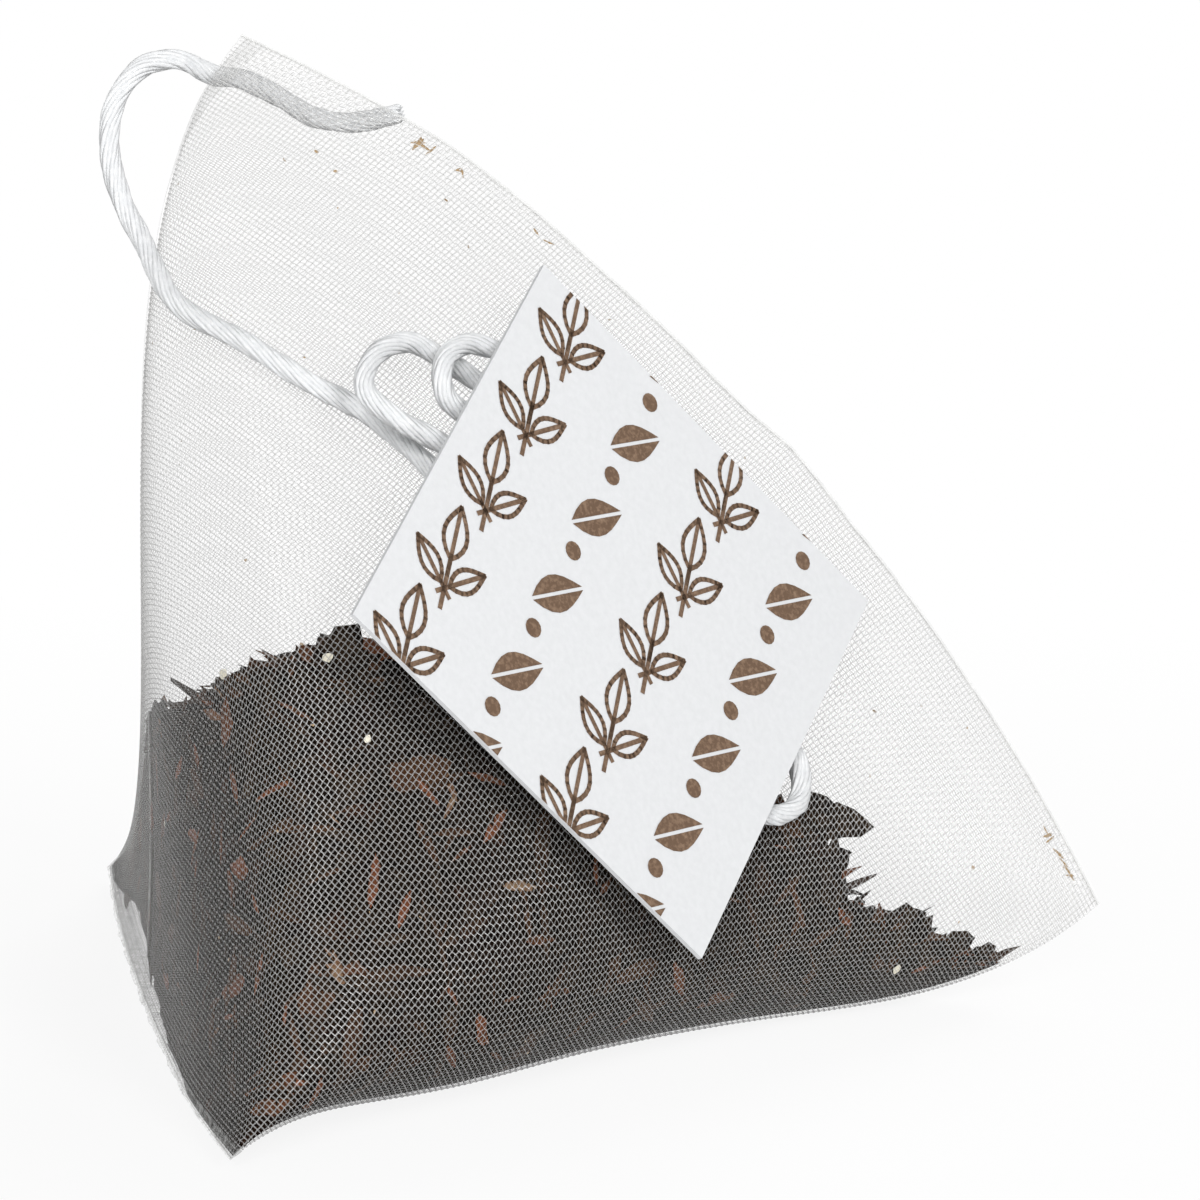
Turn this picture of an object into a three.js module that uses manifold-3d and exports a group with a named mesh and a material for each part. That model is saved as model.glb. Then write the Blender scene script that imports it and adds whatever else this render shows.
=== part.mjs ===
// Pyramid tea bag: a see-through mesh pouch with tea inside, a string and a paper tag.
// Units are millimetres, +Z is up, and the bag stands on its pressed base at Z = 0.
import * as THREE from 'three';
import Module from 'manifold-3d';

const wasm = await Module();
wasm.setup();

// The pouch: a tube of mesh whose two ends are pressed flat and welded, at right angles to each other.
const weldLength = 64;
const weldSpacing = 37.3;
const cornerPower = 2.4;
const topWeldBow = 5.7;
const endWeldBow = 1.25;
const leanDegrees = 44.3;
const basePress = 0.69;
const baseSag = 0.7;
const meshWall = 0.3;
const wallInset = 0.1;
const weldThickness = 0.7;

// The margin outside each end weld, which the cut leaves slightly wavy.
const marginWidth = 1.2;
const marginEdge = 0.4;
const marginWaveHeight = 0.2;
const marginWaves = 7;

// The weave, drawn coarser than the real one: warp threads along the tube, weft threads round it.
// Every third gap between them is open, and the others are panes of the wall.
const warpCount = 28;
const weftCount = 12;
const threadWidth = 1.9;
const threadCrest = 0.25;
const threadDip = 0.06;
const seamCrest = 0.3;
const openGapStep = 3;

// The tea: a heap that is highest beside the lower weld and runs out towards the far corner.
const teaClearance = 0.6;
const teaCrown = 17.3;
const teaCrownX = -10;
const teaRun = 42.4;
const teaSideTilt = 0.25;
const teaFirstLevel = 0.09;
const teaLastLevel = 0.91;
const leafRelief = 0.9;
const leafLength = 7.5;

// The tag: its middle stands off the mesh, over the string that is folded behind it.
const tagSide = 25;
const tagThickness = 0.25;
const tagStandOff = 2.8;
const tagShare = 0.244;
const tagLevel = 0.692;
const tagTurns = [0, 5.9, 4.7];

// The string: its middle line from the top weld, round the bag's edge and to and fro behind the tag.
const stringDiameter = 1.05;
const stringSides = 8;
const stringSteps = 76;
const stringRoute = [
  [-1.5, 1.0, 45.8], [-3.9, 2.0, 45.2], [-5.8, 2.3, 45.4], [-7.6, 2.1, 46.4], [-9.6, 1.8, 47.3],
  [-11.0, 1.6, 47.5], [-12.9, 0.9, 48.3], [-14.8, 0.4, 47.9], [-16.1, -0.1, 46.2], [-16.4, -0.7, 44.0],
  [-15.9, -1.5, 41.7], [-14.9, -2.6, 39.6], [-13.4, -5.8, 36.8], [-10.4, -8.6, 35.3], [-7.7, -10.1, 33.7],
  [-4.3, -10.9, 31.9], [-1.8, -11.9, 29.8], [2.1, -13.6, 25.8], [6.3, -14.4, 21.2], [10.3, -14.0, 16.8],
  [13.5, -13.4, 13.6], [15.9, -12.4, 12.3], [17.5, -11.0, 12.8], [17.5, -9.9, 14.7], [15.4, -10.2, 16.8],
  [10.8, -11.5, 20.5], [6.3, -12.2, 24.5], [2.9, -12.2, 28.3], [-1.3, -13.3, 31.0], [-3.5, -13.8, 32.2],
  [-5.0, -13.4, 33.5], [-4.4, -11.7, 35.0], [-2.6, -10.1, 35.5], [-0.7, -9.3, 34.6], [2.7, -8.4, 32.3],
  [6.3, -8.2, 29.6], [9.5, -8.1, 27.1], [11.8, -8.1, 25.1], [13.3, -8.1, 23.2], [13.4, -9.0, 21.6],
  [11.9, -10.1, 21.6], [9.9, -10.5, 23.3], [7.5, -10.6, 26.0], [4.7, -10.9, 28.8], [0.6, -11.9, 31.9],
  [-0.9, -12.2, 33.1], [-1.0, -11.5, 34.6], [0.2, -10.1, 35.4], [2.0, -9.2, 35.0], [6.6, -7.6, 32.1],
  [9.2, -7.3, 29.8], [11.7, -6.9, 27.4],
];

const girth = 2 * weldLength;
const lean = THREE.MathUtils.degToRad(leanDegrees);

// A section of the tube, at a level that runs from 0 at the lower weld to 1 at the top weld. It is
// a rounded rectangle of the tube's girth, which goes from flat one way to flat the other way.
// Its points lie at the given shares of the girth, each with its outward direction.
const sectionSamples = 720;
const flattest = (2 * weldThickness) / girth;

function section(level, shares) {
  const along = THREE.MathUtils.clamp(level, flattest, 1 - flattest);
  const across = 1 - along;
  const outline = [];
  for (let k = 0; k <= sectionSamples; k += 1) {
    const turn = (2 * Math.PI * k) / sectionSamples;
    const x = along * Math.sign(-Math.cos(turn)) * Math.abs(Math.cos(turn)) ** (2 / cornerPower);
    const y = across * Math.sign(-Math.sin(turn)) * Math.abs(Math.sin(turn)) ** (2 / cornerPower);
    outline.push(new THREE.Vector2(x, y));
  }
  const run = [0];
  for (let k = 1; k <= sectionSamples; k += 1) {
    run.push(run[k - 1] + outline[k].distanceTo(outline[k - 1]));
  }
  const whole = run[sectionSamples];
  const scale = girth / whole;
  const points = shares.map((share) => {
    const wanted = (share - Math.floor(share)) * whole;
    const next = Math.max(1, run.findIndex((passed) => passed > wanted));
    const part = (wanted - run[next - 1]) / (run[next] - run[next - 1]);
    const edge = outline[next].clone().sub(outline[next - 1]).normalize();
    const point = outline[next - 1].clone().lerp(outline[next], part).multiplyScalar(scale);
    return { point, outward: new THREE.Vector2(edge.y, -edge.x) };
  });
  return { points, halfLength: along * scale, halfWidth: across * scale };
}

// Where a section's points are in space: along the leaning tube, with both end welds bowed outward
// and the underside sagging onto the floor under the tea.
function inSpace(x, y, level, ring) {
  const topBow = topWeldBow * level ** 2 * (1 - (x / ring.halfLength) ** 2);
  const lowBow = endWeldBow * (1 - level) ** 2 * (1 - (y / ring.halfWidth) ** 2);
  const along = weldSpacing * (level - 0.5) + topBow - lowBow;
  const right = x * Math.cos(lean) + along * Math.sin(lean);
  const sag = baseSag * Math.sin(Math.PI * level) * Math.max(0, x / ring.halfLength);
  const up = along * Math.cos(lean) - x * Math.sin(lean) - sag;
  return new THREE.Vector3(right, y, up);
}

function ringInSpace(level, shares, offsets) {
  const ring = section(level, shares);
  return ring.points.map(({ point, outward }, k) => {
    const moved = point.clone().addScaledVector(outward, offsets[k]);
    return inSpace(moved.x, moved.y, level, ring);
  });
}

// The floor is basePress above the lowest point that the free bulge of the base would reach.
const surveyShares = Array.from({ length: 96 }, (_, k) => k / 96);
const surveyOffsets = surveyShares.map(() => 0);
const surveyLevels = Array.from({ length: 41 }, (_, k) => k / 40);
const lowest = Math.min(
  ...surveyLevels.flatMap((level) => ringInSpace(level, surveyShares, surveyOffsets).map((p) => p.z)),
);
const floor = lowest + basePress;

function standing(point, least) {
  return new THREE.Vector3(point.x, point.y, Math.max(point.z - floor, least));
}

// A small builder of closed skins: points are added once and faces name them by number.
function skin() {
  const points = [];
  const faces = [];
  return {
    points,
    faces,
    add: (point) => points.push(point) - 1,
    triangle: (a, b, c) => faces.push([a, b, c]),
    quad(a, b, c, d) {
      faces.push([a, b, c], [a, c, d]);
    },
    geometry() {
      const built = new THREE.BufferGeometry();
      built.setAttribute('position', new THREE.Float32BufferAttribute(points.flatMap((p) => p.toArray()), 3));
      built.setIndex(faces.flat());
      return built;
    },
  };
}

// Closes a flattened ring along its length. Points whose numbers add up to pairSum face each other.
function zip(body, ring, pairSum, flip) {
  const count = ring.length;
  const first = Math.ceil(pairSum / 2);
  const steps = count / 2 - (pairSum % 2);
  for (let k = first; k < first + steps; k += 1) {
    const a = ring[k % count];
    const b = ring[(k + 1) % count];
    const facingA = ring[(pairSum - k + 2 * count) % count];
    const facingB = ring[(pairSum - k - 1 + 2 * count) % count];
    const corners = [a, b, facingB, facingA].filter((corner, n, all) => all.indexOf(corner) === n);
    if (flip) corners.reverse();
    for (let n = 2; n < corners.length; n += 1) body.triangle(corners[0], corners[n - 1], corners[n]);
  }
}

// The lines of the weave. Round the tube each warp thread has a middle and an edge on each side,
// and along the tube each weft thread has the same.
const warpPitch = girth / warpCount;
const weftPitch = Math.hypot(weldSpacing, weldLength / 2) / weftCount;
const sides = { before: -threadWidth / 2, middle: 0, after: threadWidth / 2 };

const warpLines = [];
for (let thread = 0; thread < warpCount; thread += 1) {
  warpLines.push({ thread, side: 'middle' }, { thread, side: 'after' });
  warpLines.push({ thread: (thread + 1) % warpCount, side: 'before' });
}
const weftLines = [];
for (let thread = 0; thread < weftCount; thread += 1) {
  weftLines.push({ thread, side: 'before' }, { thread, side: 'middle' }, { thread, side: 'after' });
}

const shareOf = ({ thread, side }) => (thread * warpPitch + sides[side]) / girth;
const levelOf = ({ thread, side }) => (thread + 0.5 + sides[side] / weftPitch) / weftCount;

// How far the weave stands above the wall: a thread that passes over keeps its crest, and the one
// that passes under dips beside it. Warp thread 0 is the weld along the tube, which never dips.
function weaveHeight(warp, weft) {
  const warpOver = (warp.thread + weft.thread) % 2 === 0;
  if (warp.thread === 0 && warp.side === 'middle') return seamCrest;
  if (warp.side === 'middle' && weft.side === 'middle') return threadCrest;
  if (warp.side === 'middle') return warpOver ? threadCrest : threadDip;
  if (weft.side === 'middle') return warpOver ? threadDip : threadCrest;
  return 0;
}

const isOpen = (warpThread, weftThread) => (warpThread + 2 * weftThread) % openGapStep === 0;

function meshPouch() {
  const body = skin();
  const outerShares = warpLines.map(shareOf);
  const innerLines = warpLines.filter(({ side }) => side !== 'middle');
  const innerShares = innerLines.map(shareOf);
  const outerRow = (level, offsets) => ringInSpace(level, outerShares, offsets).map((p) => body.add(standing(p, 0)));

  // The lower weld lies on the floor, so the side that faces up keeps a height there.
  const weldRow = (level) => {
    const ring = section(level, outerShares);
    return ring.points.map(({ point }) => {
      const least = level < 0.5 && point.x < 0 ? marginEdge : 0;
      return body.add(standing(inSpace(point.x, point.y, level, ring), least));
    });
  };

  // The inside keeps the wall's thickness, and less of it where a weld leaves no room for that.
  const innerRow = (level) => {
    const ring = section(level, innerShares);
    return ring.points.map(({ point, outward }) => {
      const room = Math.min(Math.abs(point.x / outward.x), Math.abs(point.y / outward.y));
      point.addScaledVector(outward, -Math.min(wallInset + meshWall, 0.8 * room));
      return body.add(standing(inSpace(point.x, point.y, level, ring), meshWall));
    });
  };

  // A margin row lies marginWidth outside a weld, thinner than it and waved across its thickness.
  // The top margin carries on along the tube, and the lower one runs out level with the floor.
  const marginRow = (level) => {
    const isTop = level > 0.5;
    const ring = section(level, outerShares);
    return ring.points.map(({ point, outward }) => {
      const run = isTop ? point.x / weldLength : point.y / weldLength;
      const wave = marginWaveHeight * Math.sin(2 * Math.PI * marginWaves * run);
      const thin = isTop
        ? new THREE.Vector2(point.x, Math.sign(outward.y) * (marginEdge / 2) + wave)
        : new THREE.Vector2(Math.sign(outward.x) * (marginEdge / 2) + wave, point.y);
      const place = inSpace(thin.x, thin.y, level, ring);
      if (isTop) place.add(new THREE.Vector3(Math.sin(lean), 0, Math.cos(lean)).multiplyScalar(marginWidth));
      else place.add(new THREE.Vector3(-marginWidth, 0, marginWaveHeight));
      return body.add(standing(place, !isTop && outward.x < 0 ? marginEdge : 0));
    });
  };

  const outer = [
    { ring: marginRow(0) },
    { ring: weldRow(0) },
    ...weftLines.map((weft) => ({
      ring: outerRow(levelOf(weft), warpLines.map((warp) => weaveHeight(warp, weft) - wallInset)),
      weft,
    })),
    { ring: weldRow(1) },
    { ring: marginRow(1) },
  ];
  const inner = weftLines.filter(({ side }) => side !== 'middle')
    .map((weft) => ({ ring: innerRow(levelOf(weft)), weft }));

  // A cell is a gap where it lies after a warp thread and after a weft thread.
  const gapHere = (warp, weft) => warp.side === 'after' && weft && weft.side === 'after'
    && weft.thread < weftCount - 1 && isOpen(warp.thread, weft.thread);
  const gaps = new Map();

  const lay = (rows, lines, outside) => {
    for (let r = 0; r < rows.length - 1; r += 1) {
      const count = lines.length;
      for (let k = 0; k < count; k += 1) {
        const next = (k + 1) % count;
        const corners = [rows[r].ring[k], rows[r].ring[next], rows[r + 1].ring[next], rows[r + 1].ring[k]];
        if (gapHere(lines[k], rows[r].weft)) {
          const name = `${lines[k].thread} ${rows[r].weft.thread}`;
          gaps.set(name, [...(gaps.get(name) ?? []), corners]);
        } else if (outside) body.quad(...corners);
        else body.quad(corners[0], corners[3], corners[2], corners[1]);
      }
    }
  };
  lay(outer, warpLines, true);
  lay(inner, innerLines, false);
  for (const [outside, inside] of gaps.values()) {
    for (let n = 0; n < 4; n += 1) {
      const next = (n + 1) % 4;
      body.quad(outside[n], outside[next], inside[next], inside[n]);
    }
  }

  const outerCount = warpLines.length;
  const innerCount = innerLines.length;
  zip(body, outer.at(-1).ring, 0, false);
  zip(body, outer[0].ring, outerCount / 2, true);
  zip(body, inner.at(-1).ring, innerCount - 1, true);
  zip(body, inner[0].ring, innerCount / 2 - 1, false);
  return body.geometry();
}

// A solid for joining and cutting, from a builder's points and faces, and back again.
function solidOf(body) {
  const vertProperties = new Float32Array(body.points.flatMap((point) => point.toArray()));
  const triVerts = new Uint32Array(body.faces.flat());
  return new wasm.Manifold(new wasm.Mesh({ numProp: 3, vertProperties, triVerts }));
}

function geometryOf(solid) {
  const mesh = solid.getMesh();
  const built = new THREE.BufferGeometry();
  built.setAttribute('position', new THREE.Float32BufferAttribute(mesh.vertProperties, mesh.numProp));
  built.setIndex(Array.from(mesh.triVerts));
  return built;
}

// The room that tea can take up: the pouch's inside, less the clearance.
function teaRoom() {
  const body = skin();
  const levels = 18;
  const around = 48;
  const shares = Array.from({ length: around }, (_, k) => k / around);
  const offsets = shares.map(() => -(wallInset + meshWall + teaClearance));
  const rings = [];
  for (let r = 0; r <= levels; r += 1) {
    const level = THREE.MathUtils.lerp(teaFirstLevel, teaLastLevel, r / levels);
    const ring = ringInSpace(level, shares, offsets);
    rings.push(ring.map((point) => body.add(standing(point, meshWall + teaClearance))));
  }
  for (let r = 0; r < levels; r += 1) {
    for (let k = 0; k < around; k += 1) {
      const next = (k + 1) % around;
      body.quad(rings[r][k], rings[r][next], rings[r + 1][next], rings[r + 1][k]);
    }
  }
  zip(body, rings[levels], 0, false);
  zip(body, rings[0], around / 2, true);
  return solidOf(body);
}

// Everything under the heap's top, a field of curled leaves: crossing ridges of leaf length that
// stand on a surface falling away from the crown.
function underTheHeap() {
  const body = skin();
  const cells = 26;
  const reach = weldLength * 0.62;
  const below = -5;
  const place = (k) => THREE.MathUtils.lerp(-reach, reach, k / cells);
  const ridge = (run) => Math.abs(Math.sin((Math.PI * run) / leafLength));
  const top = (x, y) => {
    const fall = teaCrown * ((x - teaCrownX) / teaRun) ** 2;
    const leaves = ridge(x + 0.7 * y) * ridge(0.8 * y - 0.5 * x + 2) + 0.6 * ridge(1.3 * x - 0.6 * y + 1);
    const height = teaCrown - fall - teaSideTilt * y;
    return height + leafRelief * leaves * THREE.MathUtils.clamp(height / 8, 0, 1);
  };
  const at = [[], []];
  for (let i = 0; i <= cells; i += 1) {
    for (let j = 0; j <= cells; j += 1) {
      const x = place(i);
      const y = place(j);
      at[0].push(body.add(new THREE.Vector3(x, y, Math.min(below, top(x, y) - 1))));
      at[1].push(body.add(new THREE.Vector3(x, y, top(x, y))));
    }
  }
  const corner = (side, i, j) => at[side][i * (cells + 1) + j];
  for (let i = 0; i < cells; i += 1) {
    for (let j = 0; j < cells; j += 1) {
      body.quad(corner(1, i, j), corner(1, i + 1, j), corner(1, i + 1, j + 1), corner(1, i, j + 1));
      body.quad(corner(0, i, j), corner(0, i, j + 1), corner(0, i + 1, j + 1), corner(0, i + 1, j));
    }
  }
  for (let k = 0; k < cells; k += 1) {
    body.quad(corner(0, k, 0), corner(0, k + 1, 0), corner(1, k + 1, 0), corner(1, k, 0));
    body.quad(corner(0, k + 1, cells), corner(0, k, cells), corner(1, k, cells), corner(1, k + 1, cells));
    body.quad(corner(0, 0, k + 1), corner(0, 0, k), corner(1, 0, k), corner(1, 0, k + 1));
    body.quad(corner(0, cells, k), corner(0, cells, k + 1), corner(1, cells, k + 1), corner(1, cells, k));
  }
  return solidOf(body);
}

const teaLeaves = () => geometryOf(teaRoom().intersect(underTheHeap()));

// The tag's frame: on the mesh under its middle, with its X axis along the weft threads there.
function tagFrame() {
  const step = 0.005;
  const meshAt = (level, share) => standing(ringInSpace(level, [share], [0])[0], -weldLength);
  const foot = meshAt(tagLevel, tagShare);
  const alongWeft = meshAt(tagLevel, tagShare + step).sub(meshAt(tagLevel, tagShare - step)).normalize();
  const alongWarp = meshAt(tagLevel + step, tagShare).sub(meshAt(tagLevel - step, tagShare));
  const outward = alongWeft.clone().cross(alongWarp).normalize();
  const across = outward.clone().cross(alongWeft);
  const turns = tagTurns.map((degrees) => THREE.MathUtils.degToRad(degrees));
  const frame = new THREE.Matrix4().makeBasis(alongWeft, across, outward);
  frame.setPosition(foot.addScaledVector(outward, tagStandOff));
  return frame.multiply(new THREE.Matrix4().makeRotationFromEuler(new THREE.Euler(...turns)));
}

function string() {
  const middle = new THREE.CatmullRomCurve3(stringRoute.map((point) => new THREE.Vector3(...point)), false, 'centripetal');
  const round = new THREE.Shape();
  for (let k = 0; k < stringSides; k += 1) {
    const turn = (2 * Math.PI * k) / stringSides;
    const x = (stringDiameter / 2) * Math.cos(turn);
    const y = (stringDiameter / 2) * Math.sin(turn);
    if (k === 0) round.moveTo(x, y);
    else round.lineTo(x, y);
  }
  return new THREE.ExtrudeGeometry(round, { steps: stringSteps, extrudePath: middle, curveSegments: 1 });
}

const finishes = {
  mesh_pouch: { color: 0xf2f3f1, roughness: 0.45, metalness: 0 },
  tea_leaves: { color: 0x241a14, roughness: 0.85, metalness: 0 },
  string: { color: 0xe9eaec, roughness: 0.9, metalness: 0 },
  paper_tag: { color: 0xe6e7e8, roughness: 0.8, metalness: 0 },
};

function piece(name, geometry) {
  const made = new THREE.Mesh(geometry, new THREE.MeshStandardMaterial(finishes[name]));
  made.name = name;
  return made;
}

const teaBag = new THREE.Group();
const pouchGeometry = meshPouch();
teaBag.add(piece('mesh_pouch', pouchGeometry));
teaBag.add(piece('tea_leaves', teaLeaves()));
teaBag.add(piece('string', string()));

const tagGroup = new THREE.Group();
tagGroup.applyMatrix4(tagFrame());
tagGroup.add(piece('paper_tag', new THREE.BoxGeometry(tagSide, tagSide, tagThickness)));
teaBag.add(tagGroup);

// The origin lies under the middle of the pouch's own box.
pouchGeometry.computeBoundingBox();
const pouchMiddle = pouchGeometry.boundingBox.getCenter(new THREE.Vector3());
teaBag.position.set(-pouchMiddle.x, -pouchMiddle.y, 0);

export default teaBag;
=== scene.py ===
# %% [markdown]
# # A pyramid tea bag, dressed
#
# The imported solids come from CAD. This script dresses them: the mesh pouch becomes real crossing
# threads, the tea becomes leaf pieces, the string becomes a twisted yarn, and the tag gets its print.
# Lengths are named in millimetres, and everything that Blender gets is in metres.

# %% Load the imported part
import math

import bpy
import numpy as np
from mathutils import Matrix, Vector
from mathutils.bvhtree import BVHTree


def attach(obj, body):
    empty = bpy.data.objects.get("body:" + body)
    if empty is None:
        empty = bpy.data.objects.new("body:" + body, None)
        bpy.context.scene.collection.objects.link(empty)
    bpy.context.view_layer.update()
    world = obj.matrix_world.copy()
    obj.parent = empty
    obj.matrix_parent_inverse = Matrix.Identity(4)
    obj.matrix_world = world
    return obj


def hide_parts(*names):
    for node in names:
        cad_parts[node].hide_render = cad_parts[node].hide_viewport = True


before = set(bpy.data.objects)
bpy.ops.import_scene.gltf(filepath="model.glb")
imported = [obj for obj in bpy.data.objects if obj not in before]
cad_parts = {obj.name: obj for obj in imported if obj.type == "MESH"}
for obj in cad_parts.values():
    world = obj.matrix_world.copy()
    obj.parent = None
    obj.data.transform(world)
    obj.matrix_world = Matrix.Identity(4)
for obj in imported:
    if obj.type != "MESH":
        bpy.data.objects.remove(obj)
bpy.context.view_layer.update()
MM = 0.001
# CAD slides its model along X until the origin lies under the middle of the pouch's box. The forms
# below are worked out round the pouch's own axis, so they take the same slide.
ORIGIN_SHIFT = np.array([-10.711, 0.0, 0.0])

# %% [markdown]
# ## The camera
# A camera aimed by eye would show every piece from a slightly wrong side, and each shape would then be
# bent to suit it. So its place, aim and lens were found together with the pouch's form, by fitting the
# pouch's outline to the photograph's. The place is in millimetres, and the two directions are the way
# the camera looks and its upright.

# %% Camera
CAMERA_PLACE = np.array([-41.53, -288.04, 68.90]) + ORIGIN_SHIFT
CAMERA_FORWARD = Vector((0.1708, 0.972, -0.1614)).normalized()
CAMERA_UP = Vector((0.001, 0.1636, 0.9865))
CAMERA_LENS = 173.66
SENSOR_WIDTH = 36
NEAREST_SEEN = 0.01

camera_data = bpy.data.cameras.new("camera")
camera_data.lens = CAMERA_LENS
camera_data.sensor_width = SENSOR_WIDTH
camera_data.clip_start = NEAREST_SEEN
camera = bpy.data.objects.new("camera", camera_data)
bpy.context.scene.collection.objects.link(camera)
camera_right = CAMERA_FORWARD.cross(CAMERA_UP).normalized()
camera_up = camera_right.cross(CAMERA_FORWARD)
turn = Matrix((camera_right, camera_up, -CAMERA_FORWARD)).transposed().to_4x4()
camera.matrix_world = Matrix.Translation(Vector(CAMERA_PLACE * MM)) @ turn
bpy.context.scene.camera = camera
print("camera at", [round(c, 4) for c in camera.location])

# %% [markdown]
# ## Meshes from arrays
# Blender can build a mesh with operators, with a BMesh or straight from arrays. There are hundreds of
# thousands of points here, so they are worked out with numpy as whole arrays, and foreach_set hands
# each array over in one call. A grid of points needs only its quads, and one function numbers them.

# %% Mesh helpers
SHORTEST = 1e-9


def make_mesh(name, points, faces, smooth=True):
    """An object at the origin from points in millimetres and an array of faces with equal corners."""
    data = bpy.data.meshes.new(name)
    faces = np.asarray(faces, np.int32)
    count, corners = faces.shape
    data.vertices.add(len(points))
    data.vertices.foreach_set("co", (np.asarray(points, np.float32) * MM).ravel())
    data.loops.add(count * corners)
    data.loops.foreach_set("vertex_index", faces.ravel())
    data.polygons.add(count)
    data.polygons.foreach_set("loop_start", np.arange(0, count * corners, corners, dtype=np.int32))
    data.polygons.foreach_set("use_smooth", np.full(count, smooth))
    data.update(calc_edges=True)
    data.validate()
    made = bpy.data.objects.new(name, data)
    bpy.context.scene.collection.objects.link(made)
    return made


def grid_faces(rows, columns, wrap=False):
    """Quads of a grid of points numbered row by row. wrap joins the last column to the first."""
    row = np.arange(rows - 1)[:, None]
    column = np.arange(columns if wrap else columns - 1)[None, :]
    after = (column + 1) % columns
    corners = [
        row * columns + column, row * columns + after,
        (row + 1) * columns + after, (row + 1) * columns + column,
    ]
    return np.stack(np.broadcast_arrays(*corners), -1).reshape(-1, 4)


def unit(vectors):
    """Vectors along the last axis, divided by their lengths."""
    return vectors / np.maximum(np.linalg.norm(vectors, axis=-1, keepdims=True), SHORTEST)


print("a grid of 3 by 4 points:", len(grid_faces(3, 4)), "quads, wrapped:", len(grid_faces(3, 4, True)))

# %% [markdown]
# ## Materials as sums
# A material is a tree of nodes. Written node by node, a simple sum takes ten lines and hides what it
# works out. So a small class wraps a socket, and plus, minus and times on it add Math nodes. Every
# node comes from one method, which takes its kind, its settings and what feeds its sockets.

# %% Sums on sockets
class Value:
    """A shader socket that arithmetic works on. Each operation adds one Math node."""

    def __init__(self, nodes, socket):
        self.nodes = nodes
        self.socket = socket

    def math(self, operation, *others, clamp=False):
        settings = [("operation", operation), ("use_clamp", clamp)]
        return self.nodes.node("ShaderNodeMath", 0, settings, enumerate((self, *others)))

    def __add__(self, other):
        return self.math("ADD", other)

    __radd__ = __add__

    def __mul__(self, other):
        return self.math("MULTIPLY", other)

    __rmul__ = __mul__

    def __sub__(self, other):
        return self.math("SUBTRACT", other)

    def __rsub__(self, other):
        return (self * -1.0) + other

    def ramp(self, low, high):
        """0 at low, 1 at high, and straight between them: (value - low) / (high - low), clamped."""
        return ((self - low) * (1.0 / (high - low))).math("ADD", 0.0, clamp=True)


class Nodes:
    """A node tree, with one way to feed a socket and one to add a node."""

    def __init__(self, tree):
        self.tree = tree

    def feed(self, socket, item):
        if isinstance(item, Value):
            self.tree.links.new(item.socket, socket)
        else:
            socket.default_value = item

    def node(self, kind, output=0, settings=(), numbered=(), **named):
        """Any node. Sockets are fed by number or by name, where underscores stand for spaces."""
        made = self.tree.nodes.new(kind)
        for key, item in settings:
            setattr(made, key, item)
        for place, item in numbered:
            self.feed(made.inputs[place], item)
        for key, item in named.items():
            self.feed(made.inputs[key.replace("_", " ")], item)
        return Value(self, made.outputs[output])


print("helpers:", Value.__name__, "and", Nodes.__name__)

# %% A material and its piece
# The Mix node has a set of sockets for each kind of value, and these are the colour's.
MIX_FACTOR = 0
MIX_LOW = 6
MIX_HIGH = 7
MIX_RESULT = 2


class Shader(Nodes):
    """A material with one Principled surface."""

    def __init__(self, name):
        self.material = bpy.data.materials.new(name)
        self.material.use_nodes = True
        super().__init__(self.material.node_tree)
        self.surface = self.tree.nodes["Principled BSDF"]
        print("material", name)

    def places(self):
        """Places in the piece's own frame, in metres, so that a pattern stays with the piece."""
        return self.node("ShaderNodeTexCoord", "Object")

    def noise(self, scale, detail=2.0, roughness=0.5):
        return self.node(
            "ShaderNodeTexNoise", "Fac",
            Vector=self.places(), Scale=scale, Detail=detail, Roughness=roughness,
        )

    def mix(self, factor, low, high):
        """A colour between low and high."""
        numbered = [(MIX_FACTOR, factor), (MIX_LOW, low), (MIX_HIGH, high)]
        return self.node("ShaderNodeMix", MIX_RESULT, [("data_type", "RGBA")], numbered)

    def set(self, **inputs):
        for key, item in inputs.items():
            self.feed(self.surface.inputs[key.replace("_", " ")], item)

    def bump(self, height, distance, strength=1.0):
        self.set(Normal=self.node("ShaderNodeBump", Height=height, Distance=distance, Strength=strength))


def dress(made, shader):
    """Gives a piece its material and its slot, and lets it ride on the one body."""
    made.data.materials.clear()
    made.data.materials.append(shader.material)
    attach(made, "root")
    print(f"{made.name}: {len(made.data.polygons)} faces")
    return made


# %% [markdown]
# ## The pouch's surface
# The real pouch is a flat sheet, closed to a tube and pressed flat at both ends, the second time at
# right angles to the first. It could be sculpted, or puffed up by a cloth simulation, but the threads,
# the welds and the tea all have to follow it closely. So it is one function, with the same form as in
# CAD: a tube of one girth, flat one way at the lower weld and flat the other way at the top weld,
# leaning over, with bowed welds. A place on it is a level, 0 at the lower weld and 1 at the top one,
# and a share of the girth. Its underside is settled on the floor.

# %% Sizes of the form
WELD_LENGTH = 64.0
WELD_SPACING = 37.3
GIRTH = 2 * WELD_LENGTH
CORNER_POWER = 2.4
TOP_WELD_BOW = 5.7
END_WELD_BOW = 1.25
LEAN = math.radians(44.3)
BASE_SAG = 0.7
FLOOR = -13.80
WELD_GAP = 0.24
FLOOR_GAP = 0.05
OUTLINE_SAMPLES = 1440

# The top weld isn't bowed quite evenly, and a crease crosses it a little past its middle. Places are
# shares of its half length, and lifts are in millimetres.
TOP_EDGE_PLACES = (-1.0, -0.66, -0.5, -0.33, -0.08, 0.0, 0.09, 0.25, 0.57, 0.82, 1.0)
TOP_EDGE_LIFTS = (0.2, 0.46, 0.15, -0.26, -0.56, -0.54, -0.22, -0.44, -0.3, -0.02, 0.2)

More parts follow.
